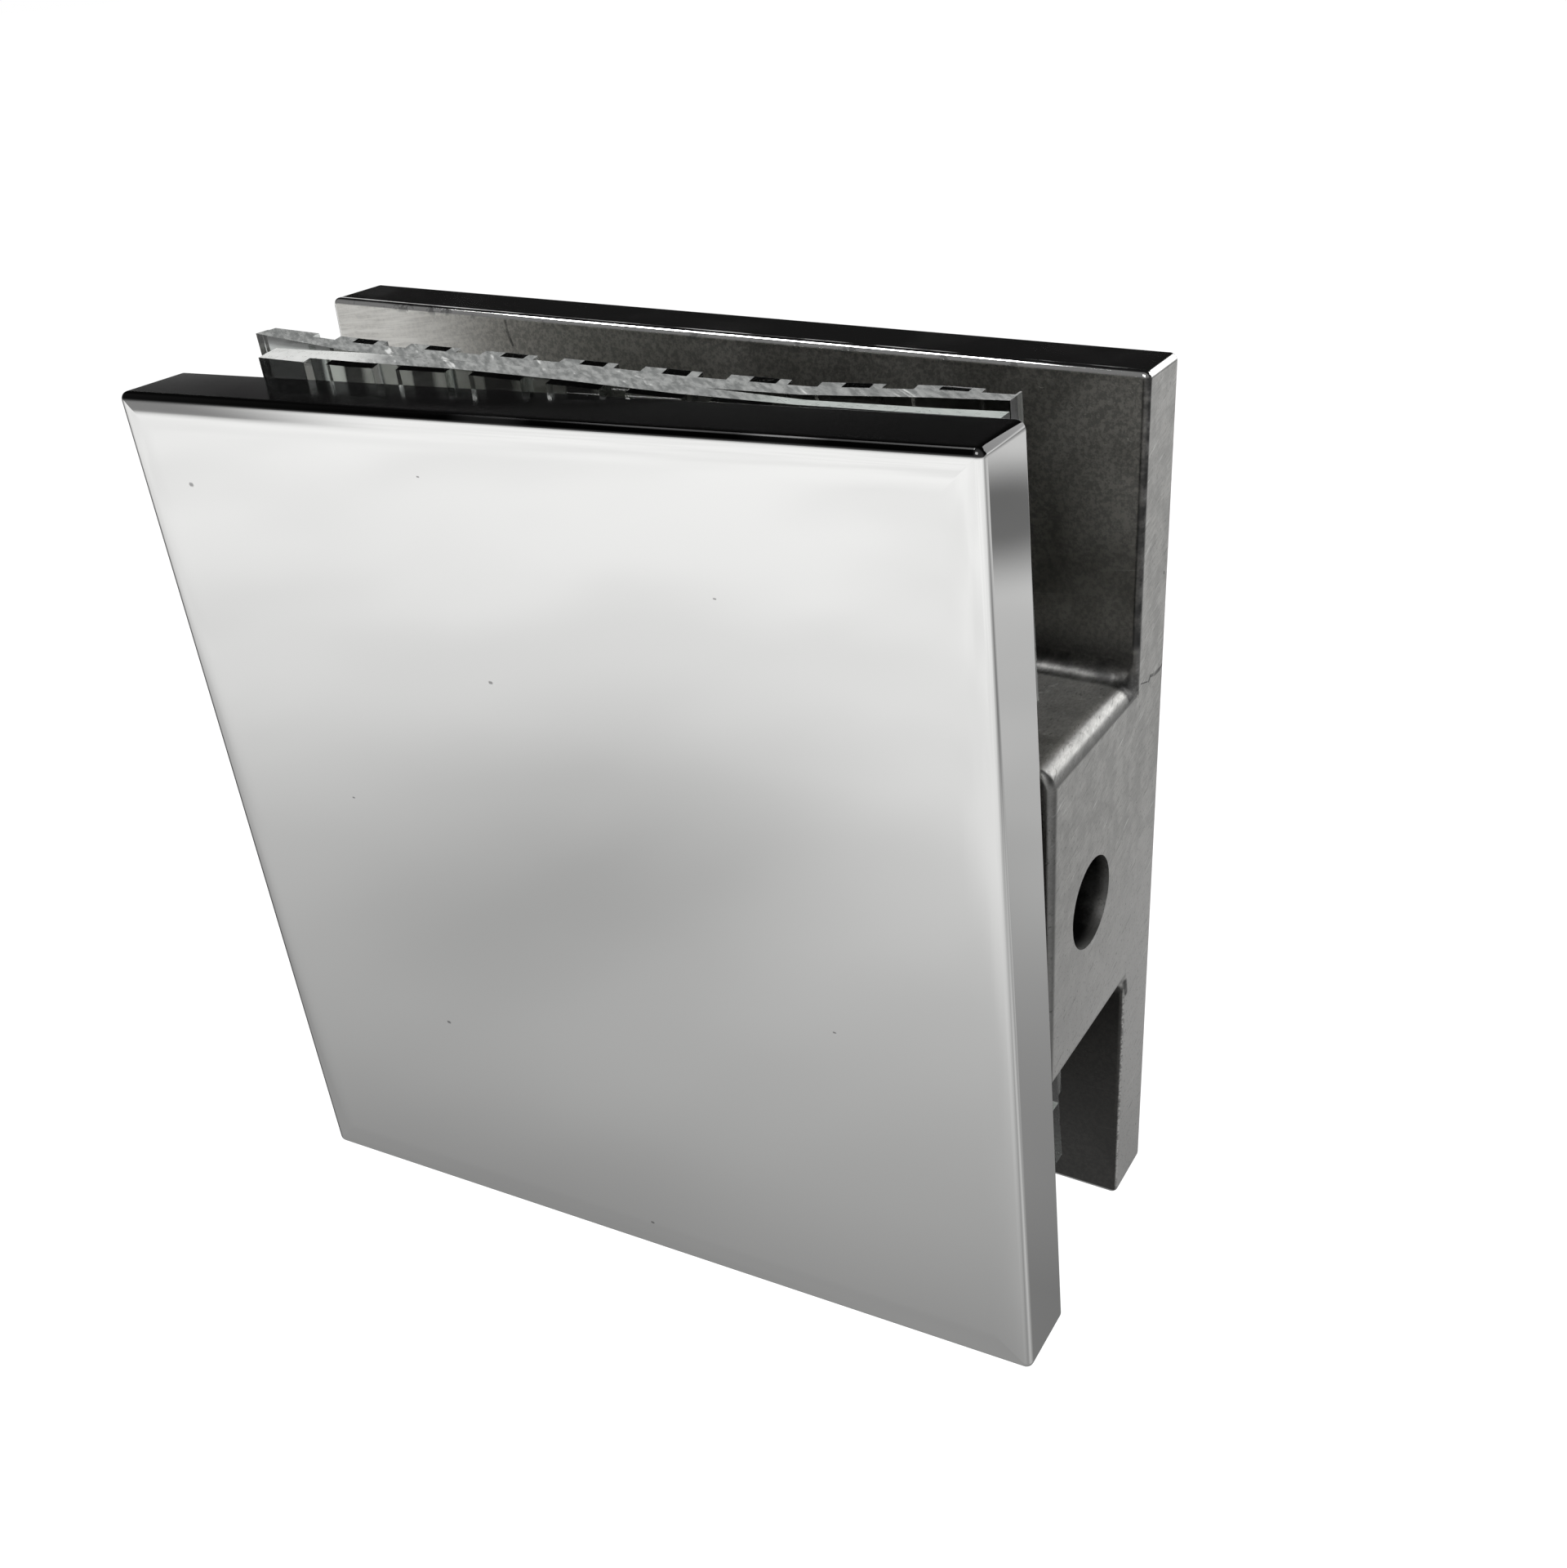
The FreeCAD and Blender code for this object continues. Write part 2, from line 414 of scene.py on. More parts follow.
# %% [markdown]
# ## The polished front plate
# The real plate is sawn from bar, tapped from behind and buffed to a mirror. Buffing takes more
# off near the edges, so the face falls away a little along its rim, and that rim mirrors the
# grey of the room while the flat mirrors the white table. A plain bevel can't show this, so the
# face is extruded and narrowed four times, each ring a little flatter than the one outside it.

# %% Make the plate's block
plate_side = 50 * mm
plate_turn = math.radians(2.75)
rim_rings = ((0.25, 0.032), (0.32, 0.021), (0.40, 0.013), (0.70, 0.007))

plate_low, plate_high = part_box("front_plate")
plate_centre = (plate_low + plate_high) / 2
half = Vector((plate_side / 2, 0, plate_side / 2))
low = plate_centre - half
high = plate_centre + half
rim_fall = sum(rise for width, rise in rim_rings) * mm
low.y = plate_low.y + rim_fall
high.y = plate_high.y
cover = add_block("polished_cover", low, high)
show_box("upright block", low, high)

# %% [markdown]
# The corners are rounded first, then the edges round the front and the back. Bevels of several
# segments follow the round that buffing leaves. Then the flat front is extruded by the rise of
# each ring and narrowed by its width, both in millimetres.

# %% Round its edges and let the rim fall away
plate_corner = 0.45 * mm
front_arris = 0.4 * mm
back_arris = 0.2 * mm
same_place = 0.001 * mm

edit(cover)
choose_edges(cover, lambda at, along: abs(along.y) > 0.9)
bpy.ops.mesh.bevel(offset=plate_corner, segments=8, affect="EDGES")
choose_edges(cover, lambda at, along: abs(at.y - low.y) < same_place and abs(along.y) < 0.1)
bpy.ops.mesh.bevel(offset=front_arris, segments=6, affect="EDGES")
choose_edges(cover, lambda at, along: abs(at.y - high.y) < same_place and abs(along.y) < 0.1)
bpy.ops.mesh.bevel(offset=back_arris, segments=4, affect="EDGES")
choose_faces(cover, lambda at, normal: normal.y < -0.999)
flat_side = plate_side - 2 * front_arris
for width, rise in rim_rings:
    narrower = flat_side - 2 * width * mm
    share = narrower / flat_side
    bpy.ops.mesh.extrude_region_move(TRANSFORM_OT_translate={"value": (0, -rise * mm, 0)})
    bpy.ops.transform.resize(value=(share, 1, share), center_override=plate_centre)
    flat_side = narrower
leave()
print("the flat of the face is", round(flat_side / mm, 2), "mm wide")

# %% [markdown]
# Two blind holes take the clamp screws. Their places are those of the screws, turned back,
# because the plate is modelled upright and turned as a whole at the end.

# %% Drill the plate and turn it
hole_radius = 2.0 * mm
hole_past_tip = 0.8 * mm
drill_length = 6 * mm

for name in ("upper_clamp_screw", "lower_clamp_screw"):
    screw_low, screw_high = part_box(name)
    across = (screw_low + screw_high) / 2 - plate_centre
    turned_back = Vector((across.x * math.cos(plate_turn) + across.z * math.sin(plate_turn), 0,
                          across.z * math.cos(plate_turn) - across.x * math.sin(plate_turn)))
    print(name, "sits at", [round(v / mm, 2) for v in turned_back], "mm from the plate's middle")
    start = plate_centre + turned_back
    start.y = screw_low.y - hole_past_tip
    cut_with(cover, add_rod("drill", hole_radius, start, drill_length))
smooth(cover)

only(cover)
bpy.context.scene.cursor.location = plate_centre
bpy.ops.object.origin_set(type="ORIGIN_CURSOR")
cover.rotation_euler = (0, -plate_turn, 0)
bpy.ops.object.transform_apply(location=True, rotation=True, scale=True)
show_box("cover", *box_of([v.co for v in cover.data.vertices]))
show_box("its solid", plate_low, plate_high)
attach(cover, "clamp_plate")
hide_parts("front_plate")

# %% [markdown]
# ## Shared effects
# Grain, pits and single scratches come back in several finishes, so each is a node group. The
# grain is noise stretched along one direction, and a second, longer noise gives rare scratches.

# %% Build the grain group
def new_group(name, inputs, outputs):
    """A node group with the sockets that its inner nodes read from and write to."""
    group = bpy.data.node_groups.new(name, "ShaderNodeTree")
    for label, kind, value in inputs:
        socket = group.interface.new_socket(label, in_out="INPUT", socket_type=kind)
        if value is not None:
            socket.default_value = value
    for label in outputs:
        group.interface.new_socket(label, in_out="OUTPUT", socket_type="NodeSocketFloat")
    return group, group.nodes.new("NodeGroupInput").outputs, group.nodes.new("NodeGroupOutput").inputs


grain_group, given, result = new_group(
    "drawn_grain",
    (("Vector", "NodeSocketVector", None), ("Turn", "NodeSocketVector", (0, 0, 0)),
     ("Spacing", "NodeSocketVector", (500, 8000, 8000))),
    ("Fine", "Scratch"))
values = {"Vector": given["Vector"], "Rotation": given["Turn"]}
turned = add_node(grain_group, "ShaderNodeMapping", values).outputs[0]
spaced = vector_maths(grain_group, "MULTIPLY", turned, given["Spacing"])
grain_group.links.new(noise(grain_group, spaced, 1.0, 4.0, 0.6), result["Fine"])
longer = vector_maths(grain_group, "MULTIPLY", spaced, (0.3, 0.5, 0.5))
rare = noise(grain_group, longer, 1.0, 2.0, 0.7)
grain_group.links.new(soft_step(grain_group, rare, 0.62, 0.74), result["Scratch"])
print("group", grain_group.name, "with", len(grain_group.nodes), "nodes")

# %% [markdown]
# A stroke is the distance to a short line. It draws a single scratch, pit or crack where the
# real one is.

# %% Build the stroke group
stroke_group, given, result = new_group(
    "stroke",
    (("Vector", "NodeSocketVector", None), ("From", "NodeSocketVector", (0, 0, 0)),
     ("To", "NodeSocketVector", (0, 0, 1)), ("Width", "NodeSocketFloat", 0.0001)),
    ("Mask",))
line = vector_maths(stroke_group, "SUBTRACT", given["To"], given["From"])
away = vector_maths(stroke_group, "SUBTRACT", given["Vector"], given["From"])
reach = vector_maths(stroke_group, "DOT_PRODUCT", away, line)
whole = vector_maths(stroke_group, "DOT_PRODUCT", line, line)
share = add_node(stroke_group, "ShaderNodeClamp", {0: maths(stroke_group, "DIVIDE", reach, whole)})
values = {0: line, "Scale": share.outputs[0]}
foot = add_node(stroke_group, "ShaderNodeVectorMath", values, operation="SCALE").outputs[0]
gap = vector_maths(stroke_group, "DISTANCE", away, foot)
near = maths(stroke_group, "DIVIDE", gap, given["Width"])
stroke_group.links.new(soft_step(stroke_group, near, 1.0, 0.3), result["Mask"])
print("group", stroke_group.name, "with", len(stroke_group.nodes), "nodes")

# %% [markdown]
# All finishes use the object's own coordinates, so that they stay in place when the piece
# moves.

# %% Helpers for finishes
def add_stroke(tree, place, start, end, width):
    """A mask along the line from start to end, given in millimetres."""
    values = {"Vector": place, "From": Vector(start) * mm, "To": Vector(end) * mm, "Width": width * mm}
    return add_node(tree, "ShaderNodeGroup", values, node_tree=stroke_group).outputs["Mask"]


def add_grain(tree, place, turn, spacing):
    """Fine grain and rare scratches, turned by degrees and as dense along each axis as spacing says."""
    values = {"Vector": place, "Turn": [math.radians(a) for a in turn], "Spacing": spacing}
    made = add_node(tree, "ShaderNodeGroup", values, node_tree=grain_group)
    return made.outputs["Fine"], made.outputs["Scratch"]


def start_material(name):
    """A material with its tree, its Principled shader's inputs and the object's own coordinates."""
    made = bpy.data.materials.new(name)
    made.use_nodes = True
    tree = made.node_tree
    coordinates = tree.nodes.new("ShaderNodeTexCoord").outputs
    return made, tree, tree.nodes["Principled BSDF"].inputs, coordinates


def wire(tree, inputs, **values):
    for name, value in values.items():
        tree.links.new(value, inputs[name.replace("_", " ")])


def bump(tree, height, depth, strength=1.0):
    """A normal from a height between 0 and 1 that stands for depth millimetres."""
    values = {"Height": height, "Strength": strength, "Distance": depth * mm}
    return add_node(tree, "ShaderNodeBump", values).outputs[0]


def layered(tree, tone, *layers):
    """Lays each layer's colour over the tone as far as its mask says."""
    for mask, colour in layers:
        tone = mix_colours(tree, mask, tone, colour)
    return tone


def wear(piece, *materials):
    piece.data.materials.clear()
    for material in materials:
        piece.data.materials.append(material)


# %% [markdown]
# ## The polished front plate's finish
# A buffed plate is a mirror with very faint wipe marks and a few tiny pits that show as dark
# specks. Each pit is a very short stroke on the face, given by its place across and up and by
# its width, in millimetres.

# %% Start the mirror steel with its pits
mirror, tree, steel, coordinates = start_material("mirror_steel")
steel["Metallic"].default_value = 1.0
place = coordinates["Object"]
facing = split(tree, coordinates["Normal"])
wipe = add_grain(tree, place, (0, 20, 0), (60, 2500, 2500))[0]
haze = noise(tree, place, 60.0, 3.0)

pits = (
    (-47.1, 19.6, 0.16), (-28.6, 11.5, 0.12), (-36.4, -12.1, 0.13), (-23.1, -22.6, 0.11),
    (-40.2, 2.3, 0.07), (-14.5, 18.2, 0.06), (-9.7, -4.4, 0.07), (-31.0, 21.9, 0.06))
pit_length = 0.1
pit = 0.0
for across, up, width in pits:
    start = (across, plate_low.y / mm, up)
    end = (across + pit_length, plate_low.y / mm, up)
    pit = largest(tree, pit, add_stroke(tree, place, start, end, width))
tone = mix_colours(tree, pit, (0.93, 0.93, 0.92, 1), grey(0.4))
print(len(pits), "pits on the polished face")

# %% [markdown]
# The arrises are worn round, and painted shade darkens them: a painted reflection of the dark
# room. The upper one's painted shade changes its tone along its length, which is given in
# millimetres from the plate's middle. They are found in the plate's own upright coordinates.

# %% Paint shade on the worn arrises
own = vector_maths(tree, "SUBTRACT", place, plate_centre)
values = {"Vector": own, "Rotation": (0, plate_turn, 0)}
own = split(tree, add_node(tree, "ShaderNodeMapping", values).outputs[0])
half_side = plate_side / 2
face_at = plate_low.y - plate_centre.y
near_top = soft_step(tree, own["Z"], half_side - 0.5 * mm, half_side - 0.28 * mm)
near_face = soft_step(tree, own["Y"], face_at + 0.42 * mm, face_at + 0.3 * mm)
top_arris = product(tree, near_top, near_face)
arris_shade_tones = (
    (-25, 0.02), (-2.5, 0.003), (-1, 0.05), (1, 0.05), (2.5, 0.003),
    (13.5, 0.003), (15, 0.02), (16.5, 0.02), (18, 0.003), (25, 0.01))
arris_shade_stops = [(across * mm / plate_side + 0.5, light) for across, light in arris_shade_tones]
share = maths(tree, "ADD", maths(tree, "DIVIDE", own["X"], plate_side), 0.5)
left_arris = soft_step(tree, own["X"], 0.45 * mm - half_side, 0.25 * mm - half_side)
left_arris = product(tree, left_arris, near_face, soft_step(tree, facing["X"], -0.99, -0.9))
right_arris = soft_step(tree, own["X"], half_side - 0.5 * mm, half_side - 0.3 * mm)
# Painted shade on the arrises: the upper one by its tones, the left one and the top right corner in
# plain dark greys.
tone = layered(
    tree, tone,
    (top_arris, tone_ramp(tree, share, arris_shade_stops)),
    (left_arris, grey(0.04)),
    (product(tree, right_arris, near_top), grey(0.15)))

# %% [markdown]
# The top face mirrors the unlit ceiling, and painted shade darkens its colour as well, mottled
# and darker towards the left end. The back never shows once the clamp is closed, so it keeps
# the darker sawn face.

# %% Finish the mirror steel
top_face = soft_step(tree, facing["Z"], 0.9, 0.97)
painted_top_shade = soft_step(tree, haze, 0.35, 0.65, 0.6, 0.9)
painted_left_shade = product(tree, top_face, soft_step(tree, own["X"], -8 * mm, -17 * mm))
sawn = soft_step(tree, facing["Y"], 0.85, 0.95)
# Painted shade on the top face, then the sawn back's own colour.
colour = layered(
    tree, tone,
    (product(tree, top_face, painted_top_shade), grey(0.2)),
    (painted_left_shade, grey(0.1)),
    (sawn, (0.42, 0.41, 0.39, 1)))
duller = product(tree, largest(tree, top_arris, top_face), 0.06)
gloss = soft_step(tree, haze, 0.3, 0.7, 0.045, 0.085)
gloss = maths(tree, "ADD", gloss, duller, product(tree, sawn, 0.3))
wire(tree, steel, Base_Color=colour, Roughness=gloss, Normal=bump(tree, wipe, 0.0004, 0.4))
wear(cover, mirror)
print(mirror.name, "with", len(tree.nodes), "nodes")

# %% [markdown]
# ## The casting's finish
# Only the outer face and the free edges of the rear plate are polished. The wall side was
# ground on a belt, which left short slanted scratches, and the slot still has the dull, darker
# face of the machining. One material holds all three and chooses by place and by the way that
# the surface faces.

# %% Find the casting's polished part and its slot
rear_thickness = 4.1 * mm

casting, tree, steel, coordinates = start_material("casting_steel")
steel["Metallic"].default_value = 1.0
place = coordinates["Object"]
at = split(tree, place)
facing = split(tree, coordinates["Normal"])
body_low, body_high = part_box("body")
from_top = maths(tree, "SUBTRACT", body_high.z, at["Z"])
from_foot = maths(tree, "SUBTRACT", at["Z"], body_low.z)
from_end = maths(tree, "SUBTRACT", at["X"], body_low.x)
from_back = maths(tree, "SUBTRACT", body_high.y, at["Y"])
from_wall = maths(tree, "SUBTRACT", 0.0, at["X"])
from_inner = maths(tree, "SUBTRACT", at["Y"], body_high.y - rear_thickness)
nearest = maths(tree, "MINIMUM", from_back, from_top, from_foot, from_end)
polished = soft_step(tree, nearest, 0.32 * mm, 0.2 * mm)
plate_part = soft_step(tree, from_inner, -1.2 * mm, -0.2 * mm)
inner = product(tree, soft_step(tree, facing["Y"], -0.5, -0.9), plate_part)
show_box("casting", body_low, body_high)

# %% [markdown]
# A fine and a coarse belt ran down the wall side at a slant, a cutter ran along the slot, and the
# metal is mottled all over. Each texture is made once and used in several tones.

# %% Lay the grains and the noise of the casting
belt, belt_lines = add_grain(tree, place, (-17, 0, 0), (9000, 800, 12000))
coarse_lines = add_grain(tree, place, (-21, 0, 0), (4000, 600, 6500))[1]
milled, milled_lines = add_grain(tree, place, (0, 8, 0), (350, 6000, 6000))
mottle = noise(tree, place, 700.0, 5.0, 0.65)
patches = noise(tree, place, 180.0, 4.0)
sand = noise(tree, place, 4500.0, 3.0, 0.7)
crumbs = noise(tree, place, 5200.0, 3.0)
print(len(tree.nodes), "nodes so far")

# %% [markdown]
# The belt-ground side is lighter towards its foot. The inside of the slot carries painted light
# at its top and at its far left end, where light gets in, and painted shade, darkest, below the boss.

# %% Tone the belt-ground side and the slot
belt_share = soft_step(tree, belt, 0.35, 0.65)
belt_tone = mix_colours(tree, belt_share, (0.58, 0.575, 0.555, 1), (0.73, 0.725, 0.705, 1))
belt_tone = layered(
    tree, belt_tone,
    (soft_step(tree, mottle, 0.4, 0.6, 0.0, 0.45), (0.42, 0.42, 0.41, 1)),
    (soft_step(tree, at["Z"], 8 * mm, -12 * mm, 0.0, 0.8), (0.88, 0.875, 0.86, 1)),
    (soft_step(tree, sand, 0.56, 0.7, 0.0, 0.5), (0.25, 0.25, 0.24, 1)),
    (product(tree, belt_lines, 0.6), (0.2, 0.2, 0.19, 1)),
    (product(tree, coarse_lines, 0.7), (0.97, 0.97, 0.95, 1)))

low_slot = soft_step(tree, at["Z"], -7 * mm, -10 * mm)
far_left = soft_step(tree, from_end, 14 * mm, 6 * mm)
far_left = product(tree, far_left, soft_step(tree, milled, 0.25, 0.75, 0.5, 1.0))
inner_share = soft_step(tree, patches, 0.35, 0.65)
inner_tone = mix_colours(tree, inner_share, (0.27, 0.26, 0.235, 1), (0.42, 0.41, 0.38, 1))
# Painted light towards the top and at the far left, painted shade low in the slot.
inner_tone = layered(
    tree, inner_tone,
    (soft_step(tree, at["Z"], 14 * mm, 24 * mm, 0.0, 0.75), (0.72, 0.70, 0.65, 1)),
    (soft_step(tree, sand, 0.38, 0.62, 0.0, 0.45), grey(0.12)),
    (product(tree, milled_lines, 0.5), (0.6, 0.59, 0.56, 1)),
    (product(tree, low_slot, 0.85), grey(0.05)),
    (far_left, (0.92, 0.91, 0.87, 1)))
colour = mix_colours(tree, inner, belt_tone, inner_tone)

# %% [markdown]
# Painted shade gathers at the boss's root and in the bore, and dims the strip along the root.
# Burrs stand along the slot's edge below the boss, and painted shade darkens the rounded edges
# beside the wall face.

# %% Find the places of painted shade and the burrs
boss_top = 10.0 * mm
boss_front = -5.25 * mm


def near_line(tree, first, second, reach_in, reach_out):
    """A mask along the edge where two distances, given as sockets, are both small."""
    farther = largest(tree, maths(tree, "ABSOLUTE", first), maths(tree, "ABSOLUTE", second))
    return soft_step(tree, farther, reach_out * mm, reach_in * mm)


above_boss = maths(tree, "SUBTRACT", at["Z"], boss_top)
off_wall_face = soft_step(tree, facing["X"], 0.999, 0.96)
root_shade = product(
    tree, near_line(tree, above_boss, from_inner, 0.6, 3.5),
    soft_step(tree, above_boss, 0.3 * mm, 1.2 * mm), off_wall_face, 0.8)
root_strip_shade = product(
    tree, near_line(tree, above_boss, from_inner, 0.9, 1.3),
    soft_step(tree, mottle, 0.3, 0.7, 0.6, 0.95), off_wall_face)
from_bore = vector_maths(tree, "LENGTH", vector_maths(tree, "MULTIPLY", place, (0, 1, 1)))
bore_shade = product(
    tree, soft_step(tree, from_bore, 2.56 * mm, 2.52 * mm),
    soft_step(tree, from_wall, 0.05 * mm, 0.8 * mm), soft_step(tree, mottle, 0.35, 0.6, 0.7, 0.95))
burrs = product(
    tree, near_line(tree, from_wall, from_inner, 0.08, 0.28), low_slot,
    soft_step(tree, crumbs, 0.48, 0.58), 0.55)
round_foot = product(
    tree, soft_step(tree, facing["X"], 0.74, 0.88), soft_step(tree, facing["X"], 0.9995, 0.985),
    soft_step(tree, above_boss, -1.7 * mm, -1.2 * mm))
free_edge = near_line(tree, from_wall, maths(tree, "SUBTRACT", at["Y"], boss_front), 0.25, 0.55)
slot_edge = product(
    tree, near_line(tree, from_wall, from_inner, 0.3, 0.42), off_wall_face,
    soft_step(tree, above_boss, 1.0 * mm, 2.0 * mm), soft_step(tree, mottle, 0.35, 0.6, 0.7, 0.97))
rounded_edge_shade = product(tree, largest(tree, round_foot, free_edge), 0.65)
shade_and_burrs = largest(tree, root_shade, bore_shade, root_strip_shade, burrs, rounded_edge_shade, slot_edge)

# %% [markdown]
# A hairline crack runs from the back towards the boss's root. A few chips and specks lie above
# and below it, and one scratch is at the slot's top left. Each is a stroke from its start to
# its end, with its width, in millimetres.

# %% Draw the crack and the specks
strokes = (
    ((0, 9.75, 9.45), (0, 9.1, 9.25), 0.10), ((0, 9.1, 9.25), (0, 8.3, 9.28), 0.17),
    ((0, 8.3, 9.28), (0, 7.6, 9.45), 0.13), ((0, 7.6, 9.45), (0, 7.4, 9.25), 0.12),
    ((0, 7.2, 9.3), (0, 6.2, 9.6), 0.05),
    ((0, 9.56, -8.3), (0, 9.62, -8.7), 0.13), ((0, 9.58, -8.95), (0, 9.62, -9.15), 0.1),
    ((0, 5.8, -8.7), (0, 5.95, -9.5), 0.3), ((0, 9.0, 14.6), (0, 9.02, 14.65), 0.1),
    ((-37.75, 5.65, 25.2), (-37.7, 5.65, 24.6), 0.12), ((-37.7, 5.65, 24.6), (-37.45, 5.65, 23.9), 0.14))
flaw = 0.0
for start, end, width in strokes:
    flaw = largest(tree, flaw, add_stroke(tree, place, start, end, width))
flaw = product(tree, flaw, soft_step(tree, mottle, 0.3, 0.55, 0.35, 0.85))
# Painted shade, the burrs and the flaws darken the colour to near black.
colour = mix_colours(tree, largest(tree, shade_and_burrs, flaw), colour, grey(0.05))
print(len(strokes), "strokes on the casting")

# %% [markdown]
# The polished part has faint smudges, and the arris between it and the slot is chipped and a
# little wavy. The bump leaves the polished faces flat, because a mirror shows every dent.

# %% Finish the casting's steel
smudge = soft_step(tree, patches, 0.4, 0.7)
shine = mix_colours(tree, smudge, (0.91, 0.91, 0.90, 1), (0.86, 0.86, 0.85, 1))
inner_arris = near_line(tree, from_top, from_inner, 0.3, 0.55)
chipped = product(tree, inner_arris, soft_step(tree, mottle, 0.55, 0.62), 0.6)
colour = layered(tree, colour, (polished, shine), (chipped, grey(0.25)))
dull_gloss = soft_step(tree, patches, 0.3, 0.7, 0.38, 0.48)
shiny_gloss = soft_step(tree, smudge, 0.0, 1.0, 0.05, 0.11)
gloss = add_node(tree, "ShaderNodeMix", {0: polished, 2: dull_gloss, 3: shiny_gloss}).outputs[0]
height = maths(tree, "ADD", product(tree, belt, 0.5), product(tree, mottle, 0.4))
height = maths(tree, "SUBTRACT", height, product(tree, largest(tree, flaw, belt_lines), 0.8))
height = product(tree, height, maths(tree, "SUBTRACT", 1.0, polished))
height = maths(tree, "ADD", height, product(tree, inner_arris, patches, 3.0))
wire(tree, steel, Base_Color=colour, Roughness=gloss, Normal=bump(tree, height, 0.012, 0.6))
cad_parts["body"].material_slots[0].material = casting
print(casting.name, "with", len(tree.nodes), "nodes")

# %% [markdown]
# ## The clamp screws
# Each screw is an M4 with a countersunk head and a hexagon socket. The shank is a rod whose end
# faces are extruded and scaled into the tip and the head. A turned outline would do as well,
# but extruding gives every ring a size that has a name. The neck is the part of the shank that
# has no thread.

# %% Model the upper screw
head_radius = 3.75 * mm
head_land = 0.25 * mm
head_rounding = 0.08 * mm
shank_radius = 1.95 * mm
core_radius = 1.62 * mm
neck_length = 2.2 * mm
neck_slope = 0.3 * mm
tip_chamfer = 0.4 * mm

screw_low, screw_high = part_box("upper_clamp_screw")
axis = (screw_low + screw_high) / 2
cone = head_radius - shank_radius
neck_start = screw_high.y - head_land - cone - neck_length
start = Vector((axis.x, screw_low.y + tip_chamfer, axis.z))
screw = add_rod("upper_countersunk_screw", core_radius, start, neck_start - start.y)


def grow(step, wide):
    """Extrudes the chosen end by step along Y and scales it to wide."""
    bpy.ops.mesh.extrude_region_move(TRANSFORM_OT_translate={"value": (0, step, 0)})
    bpy.ops.transform.resize(value=(wide, 1, wide), center_override=axis)


edit(screw)
choose_faces(screw, lambda at, normal: normal.y < -0.9)
grow(-tip_chamfer, 1 - tip_chamfer / core_radius)
choose_faces(screw, lambda at, normal: normal.y > 0.9)
grow(neck_slope, shank_radius / core_radius)
grow(neck_length - neck_slope, 1)
grow(cone, head_radius / shank_radius)
grow(head_land, 1)
rim_at = screw_high.y
choose_edges(screw, lambda at, along: abs(at.y - rim_at) < same_place)
bpy.ops.mesh.bevel(offset=head_rounding, segments=3, affect="EDGES")
leave()
print(screw.name, round((screw_high.y - screw_low.y) / mm, 2), "mm long")

# %% [markdown]
# The socket is cut by a six-sided rod, turned with the plate. It reaches past the head, so that
# the cut is clean. A very small bevel on all sharp edges then catches the light.

# %% Cut the hexagon socket
key_across = 2.5 * mm
key_depth = 1.5 * mm
past_head = 1 * mm
sixth_half = math.radians(30)
screw_softness = 0.04 * mm


def soften(piece, width):
    """Bevels every edge that turns by more than 40 degrees."""
    limit = math.radians(40)
    finish_with(piece, "BEVEL", width=width, segments=2, limit_method="ANGLE", angle_limit=limit)


reach = key_across / 2 / math.cos(sixth_half)
key_start = Vector((axis.x, screw_high.y - key_depth, axis.z))
key = add_rod("key", reach, key_start, key_depth + past_head, sides=6)
edit(key)
bpy.ops.mesh.select_all(action="SELECT")
bpy.ops.transform.rotate(value=plate_turn - sixth_half, orient_axis="Y", center_override=axis)
leave()
cut_with(screw, key)
soften(screw, screw_softness)
print("socket", round(key_across / mm, 2), "mm across")

# %% [markdown]
# The thread is a three-sided ridge wound round the shank. A bump on a plain rod would leave the
# screw's outline straight, so the ridge is modelled. It starts as a triangle in a circle of
# 1 mm, whose half width is 0.866 mm, and is scaled to a part of the pitch.

# %% Make the thread's ridge
thread_pitch = 0.7 * mm
ridge_half_width = 0.36 * thread_pitch
ridge_point = 0.33 * thread_pitch
triangle_half_width = 0.866

bpy.ops.object.select_all(action="DESELECT")
bpy.ops.mesh.primitive_circle_add(vertices=3, radius=1 * mm, fill_type="NGON", location=(0, 0, 0))
ridge = bpy.context.active_object
ridge.scale = (ridge_half_width / mm / triangle_half_width, ridge_point / mm, 1)
ridge.rotation_euler.z = math.radians(-90)
bpy.ops.object.transform_apply(location=True, rotation=True, scale=True)
outmost = max(v.co.x for v in ridge.data.vertices)
edit(ridge)
bpy.ops.mesh.select_all(action="SELECT")
bpy.ops.transform.translate(value=(shank_radius - outmost, 0, 0))
leave()
print("ridge out to", round(shank_radius / mm, 2), "mm")

# %% [markdown]
# The Screw modifier carries the ridge on by one pitch in each turn. Its open ends are filled.

# %% Wind it round the shank
steps_in_turn = 28

thread_start = screw_low.y + 2 * tip_chamfer
turns = int((neck_start - thread_start) / thread_pitch)
finish_with(ridge, "SCREW", axis="Y", screw_offset=thread_pitch, iterations=turns, steps=steps_in_turn,
            render_steps=steps_in_turn, use_merge_vertices=True)
edit(ridge)
bpy.ops.mesh.select_all(action="SELECT")
bpy.ops.mesh.fill_holes(sides=3)
bpy.ops.mesh.normals_make_consistent(inside=False)
bpy.ops.transform.translate(value=(axis.x, thread_start, axis.z))
leave()
only(screw)
ridge.select_set(True)
bpy.ops.object.join()
smooth(screw)
print(screw.name, turns, "turns,", len(screw.data.polygons), "faces")

# %% [markdown]
# The second screw is a copy with a mesh of its own, moved to the lower hole.

